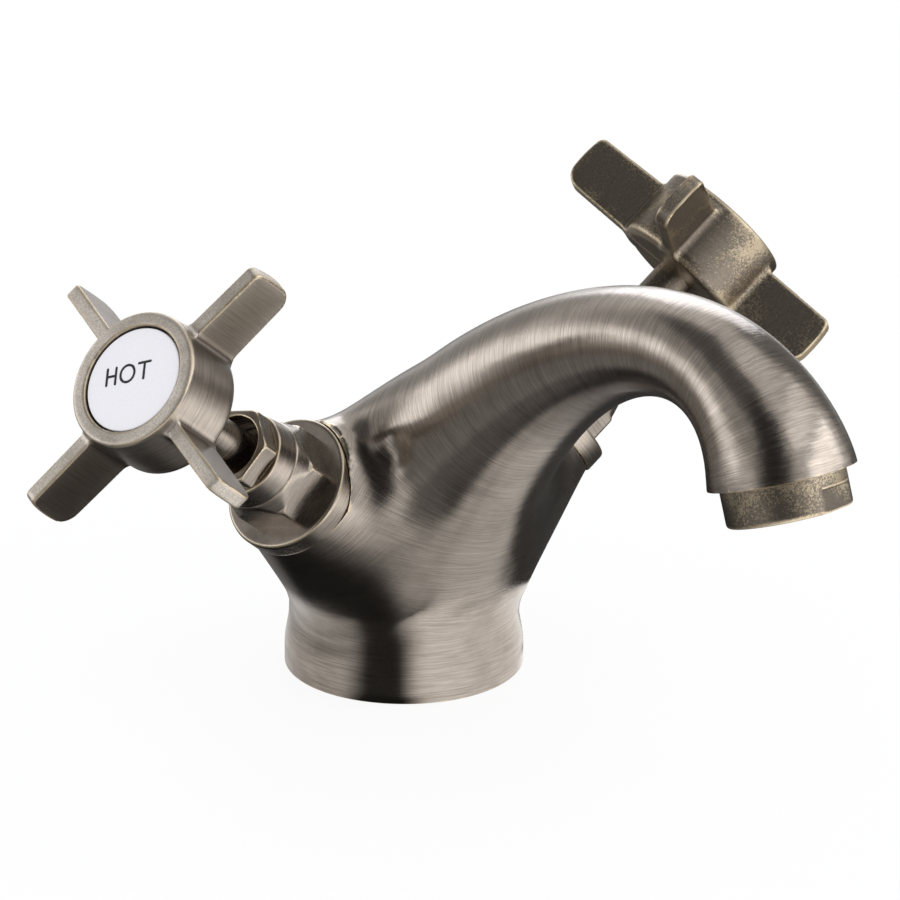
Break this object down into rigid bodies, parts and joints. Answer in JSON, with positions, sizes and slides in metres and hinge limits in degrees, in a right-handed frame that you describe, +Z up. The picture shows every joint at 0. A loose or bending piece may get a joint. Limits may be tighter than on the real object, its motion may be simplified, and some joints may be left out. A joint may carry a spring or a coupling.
{
  "type": "cross handle tap",
  "caption": "Twin-handle basin mixer with a swan spout, two cross handles on angled arms and quarter-turn ceramic disc valves.",
  "frame": {"origin": "centre of the underside of the foot, on the basin's surface", "axes": "+Z up, the spout points along -Y, the hot arm is on the -X side and the cold arm on the +X side"},
  "size_m": [0.1942, 0.1651, 0.1105],
  "materials": {
    "antique_bronze": "brushed antique bronze with dark patina and lighter worn edges",
    "plain_brass": "turned brass with an antique finish where it shows",
    "steel": "plain stainless steel",
    "black_rubber": "matt black rubber",
    "disc_ceramic": "lapped off-white ceramic",
    "grey_plastic": "matt light grey plastic",
    "white_enamel": "glossy white enamel"
  },
  "bodies": {
    "tap": {"tap_body": "antique_bronze", "base_gasket": "black_rubber", "aerator_housing": "antique_bronze", "aerator_washer": "black_rubber", "aerator_insert": "grey_plastic", "aerator_screen": "steel", "hot_collar_ring": "antique_bronze", "hot_bonnet": "antique_bronze", "hot_bonnet_o_ring": "black_rubber", "hot_neck_nut": "antique_bronze", "hot_seat_seal": "black_rubber", "hot_fixed_disc": "disc_ceramic", "hot_thrust_washer": "grey_plastic", "cold_collar_ring": "antique_bronze", "cold_bonnet": "antique_bronze", "cold_bonnet_o_ring": "black_rubber", "cold_neck_nut": "antique_bronze", "cold_seat_seal": "black_rubber", "cold_fixed_disc": "disc_ceramic", "cold_thrust_washer": "grey_plastic"},
    "hot_valve": {"hot_moving_disc": "disc_ceramic", "hot_spindle": "plain_brass", "hot_spindle_o_rings": "black_rubber", "hot_circlip": "steel", "hot_handle": "antique_bronze", "hot_handle_screw": "steel", "hot_index_disc": "white_enamel"},
    "cold_valve": {"cold_moving_disc": "disc_ceramic", "cold_spindle": "plain_brass", "cold_spindle_o_rings": "black_rubber", "cold_circlip": "steel", "cold_handle": "antique_bronze", "cold_handle_screw": "steel", "cold_index_disc": "white_enamel"}
  },
  "joints": [
    {"name": "hot_turn", "type": "hinge", "parent": "tap", "child": "hot_valve", "pos_m": [-0.07312, -0.01089, 0.08145], "axis": [-0.7701, -0.1041, 0.6293], "range_deg": [0, 90]},
    {"name": "cold_turn", "type": "hinge", "parent": "tap", "child": "cold_valve", "pos_m": [0.07312, -0.01089, 0.08145], "axis": [0.7701, -0.1041, 0.6293], "range_deg": [0, 90]}
  ]
}
